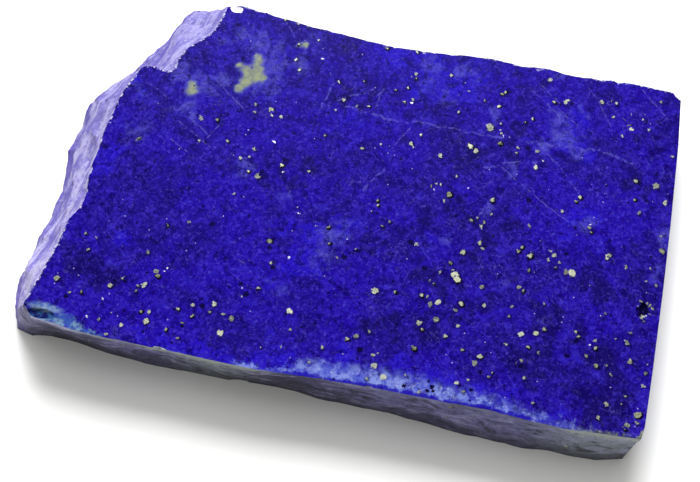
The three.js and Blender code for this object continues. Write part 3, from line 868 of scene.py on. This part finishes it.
def sawn_lapis():
    f = Finish("sawn_lapis")
    colour = lay_olive(f, deep_blue(f))
    colour = lay_hollows(f, lay_front_band(f, colour))
    colour = lay_lines(f, colour)
    colour = f.blend(f.times(sparse_spots(f, 0.6, 0.19, 0.07, 2.4), 0.85), colour, paint(12, 6, 66))
    # Rare pale specks: painted glints.
    colour = f.blend(f.times(sparse_spots(f, 0.7, 0.09, 0.1, 7.7), 0.7), colour, paint(190, 184, 236))
    colour, metal = lay_pyrite(f, paint_rim_glints_and_shade(f, colour))
    roughness = f.maths("ADD", 0.2, f.times(f.noise(0.7, detail=3, seed=73), 0.1))
    roughness = f.maths("ADD", roughness, f.times(metal, 0.1))
    normal = f.relief(f.noise(0.22, detail=3, roughness=0.6, seed=79), 0.2, 0.03 * MM)
    return f.finish(colour, roughness, f.times(metal, 0.35), normal, 0.01)


def rough_walls():
    """The broken walls, paler than the sawn face at the broken end, partly as painted sheen, and the block's
    grey natural skin.
    """
    f = Finish("rough_walls")
    along_bedding = f.turned(math.radians(70), (4.5, 1.1, 1.2))
    bedding = f.noise(1.0, detail=3, roughness=0.5, distortion=0.5, at=along_bedding, seed=83)
    crumbs = f.noise(0.4, detail=5, roughness=0.72, seed=87)
    beds = f.maths("ADD", bedding, f.times(f.maths("SUBTRACT", crumbs, 0.5), 0.7))
    # The pale lavender of the broken end is partly the paler colour of a rough break and partly painted sheen;
    # the walls further right and at the back stay deep blue.
    back_share = f.maths("MAXIMUM", f.times(f.step(f.y, -16.0, 20.0), 0.42), f.step(f.x, -14.0, -6.0))
    dull = f.blend(back_share, paint(150, 138, 222), paint(52, 40, 158))
    bright = f.blend(back_share, paint(212, 206, 250), paint(112, 102, 208))
    broken = f.blend(f.step(beds, 0.38, 0.64), dull, bright)
    deep = f.maths("ADD", f.z, f.times(f.maths("SUBTRACT", bedding, 0.5), 12.0))
    foot = f.maths("SUBTRACT", 1.0, f.step(deep, 0.6, 4.0))
    broken = f.blend(f.times(foot, 0.6), broken, paint(98, 82, 190))
    # Near-white flecks: part of the same paleness, partly painted sheen.
    pale_flecks = f.noise(0.5, detail=5, roughness=0.7, seed=89)
    broken = f.blend(f.times(f.step(pale_flecks, 0.54, 0.7), 0.35), broken, paint(222, 218, 250))
    bruises = f.noise(1.3, detail=5, roughness=0.7, seed=97)
    broken = f.blend(f.times(f.step(bruises, 0.54, 0.68), 0.4), broken, paint(80, 62, 188))
    along_front = f.turned(0.0, (2.2, 2.2, 0.9))
    streaks = f.noise(1.0, detail=6, roughness=0.68, distortion=0.8, at=along_front, seed=85)
    violet_grey, dark_grey = shaded_paint(88, 85, 126), shaded_paint(56, 53, 80)
    green_grey, lavender_grey = shaded_paint(110, 116, 126), shaded_paint(114, 112, 148)
    skin = f.tints(share_along(f), [
        (0.02, lavender_grey), (0.1, dark_grey), (0.24, violet_grey), (0.34, green_grey), (0.45, dark_grey),
        (0.6, violet_grey), (0.8, violet_grey), (0.93, green_grey),
    ])  # fmt: skip
    skin = f.blend(f.times(f.step(streaks, 0.5, 0.66), 0.75), skin, shaded_paint(134, 132, 166))
    skin = f.blend(f.times(f.step(streaks, 0.49, 0.35), 0.85), skin, shaded_paint(38, 36, 52))
    grime = f.noise(0.7, detail=5, roughness=0.7, seed=101)
    skin = f.blend(f.times(f.step(grime, 0.52, 0.68), 0.6), skin, shaded_paint(50, 48, 60))
    # Darker toward the foot of the front wall: painted shade near the floor.
    low = f.maths("ADD", f.z, f.times(f.maths("SUBTRACT", streaks, 0.5), 7.0))
    skin = f.blend(f.times(f.step(low, 3.6, 1.0), 0.6), skin, shaded_paint(46, 46, 52))
    lip_height = f.curve(share_along(f), [
        (0.03, 0.46), (0.1, 0.4), (0.15, 0.3), (0.2, 0.2), (0.27, 0.3), (0.32, 0.42),
        (0.4, 0.4), (0.47, 0.08), (0.55, 0.12), (0.86, 0.1), (0.92, 0.4),
    ])  # fmt: skip
    ragged = f.maths("SUBTRACT", f.maths("ADD", grime, streaks), 1.0)
    lip_gap = f.maths("ADD", f.attribute("front_gap"), f.times(ragged, 3.6))
    lip = f.maths("SUBTRACT", 1.0, f.step(f.maths("SUBTRACT", lip_gap, f.times(lip_height, 3.8)), -1.1, 0.5))
    pale = f.blend(f.step(share_along(f), 0.1, 0.2), shaded_paint(170, 170, 204), shaded_paint(146, 152, 146))
    skin = f.blend(f.times(lip, f.step(lip_height, 0.02, 0.28), 0.75), skin, pale)
    broken = f.blend(f.times(f.attribute("olive"), 0.8), broken, paint(196, 198, 206))
    colour = f.blend(f.attribute("skin"), broken, skin)
    colour, metal = lay_pyrite(f, paint_rim_glints_and_shade(f, colour))
    fine = f.relief(f.noise(0.3, detail=4, roughness=0.62, seed=107), 0.4, 0.07 * MM)
    lumps = f.noise(1.3, detail=3, roughness=0.55, distortion=0.5, seed=109)
    normal = f.relief(lumps, 0.3, 0.2 * MM, under=fine)
    roughness = f.maths("SUBTRACT", 0.72, f.times(metal, 0.4))
    return f.finish(colour, roughness, f.times(metal, 0.35), normal, 0.25)


def make_stone():
    mesh, face_kinds = mesh_of_stone()
    mesh.materials.append(sawn_lapis())
    mesh.materials.append(rough_walls())
    mesh.polygons.foreach_set("material_index", (face_kinds == WALL).astype(np.int32))
    places = point_places(mesh)
    ragged = stirred(places)
    keep_on_points(mesh, "cloud", softness_of(ragged, PALE_CLOUDS))
    keep_on_points(mesh, "vivid", softness_of(ragged, VIVID_PATCHES))
    keep_on_points(mesh, "shade", softness_of(ragged, DARK_PATCHES))
    keep_on_points(mesh, "olive", softness_of(places, OLIVE_PATCHES))
    keep_on_points(mesh, "skin", [skin_share(v.co) for v in mesh.vertices])
    keep_rim_gaps(mesh, face_kinds)
    keep_grains(mesh)
    keep_lines(mesh, "vein", VEINS)
    keep_lines(mesh, "scratch", SCRATCHES)
    mesh.shade_smooth()
    mesh.set_sharp_from_angle(angle=SHARP_ANGLE)
    stone = bpy.data.objects.new("stone", mesh)
    bpy.context.scene.collection.objects.link(stone)
    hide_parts("lapis_slice")
    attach(stone, "root")


# The floor and the lights


def make_floor():
    bm = bmesh.new()
    bmesh.ops.create_grid(bm, x_segments=1, y_segments=1, size=3.0)
    mesh = bpy.data.meshes.new("floor")
    bm.to_mesh(mesh)
    bm.free()
    f = Finish("white_floor")
    tint = f.blend(f.noise(40, detail=2), (0.84, 0.84, 0.825, 1), (0.86, 0.86, 0.84, 1))
    f.link(tint, f.shader.inputs["Base Color"])
    f.shader.inputs["Roughness"].default_value = 0.9
    f.shader.inputs["Specular IOR Level"].default_value = 0.1
    mesh.materials.append(f.material)
    floor = bpy.data.objects.new("floor", mesh)
    bpy.context.scene.collection.objects.link(floor)


def area_light(name, azimuth, elevation, distance, size, power, colour=(1, 1, 1)):
    """A square lamp that looks at the stone. Azimuth 0 stands in front of it and 90 to its right."""
    a, e = math.radians(azimuth), math.radians(elevation)
    back = Vector((math.sin(a) * math.cos(e), -math.cos(a) * math.cos(e), math.sin(e)))
    data = bpy.data.lights.new(name, "AREA")
    data.size, data.energy, data.color = size, power, colour
    lamp = bpy.data.objects.new(name, data)
    lamp.location = back * distance
    lamp.rotation_euler = back.to_track_quat("Z", "Y").to_euler()
    bpy.context.scene.collection.objects.link(lamp)
    return lamp


def make_light():
    world = bpy.data.worlds.new("studio")
    world.use_nodes = True
    world.node_tree.nodes["Background"].inputs["Color"].default_value = (1.0, 0.995, 0.965, 1)
    world.node_tree.nodes["Background"].inputs["Strength"].default_value = 0.38
    bpy.context.scene.world = world
    area_light("key", 192, 47, 0.6, 0.25, 5.5, (0.97, 0.98, 1.0))
    overhead = area_light("overhead", 192, 64, 0.6, 0.55, 1.6)
    overhead.visible_glossy = False  # it would lie like a haze on the sawn face, which mirrors it to the camera
    bpy.context.scene.view_settings.view_transform = "Standard"


make_camera()
make_stone()
make_floor()
make_light()
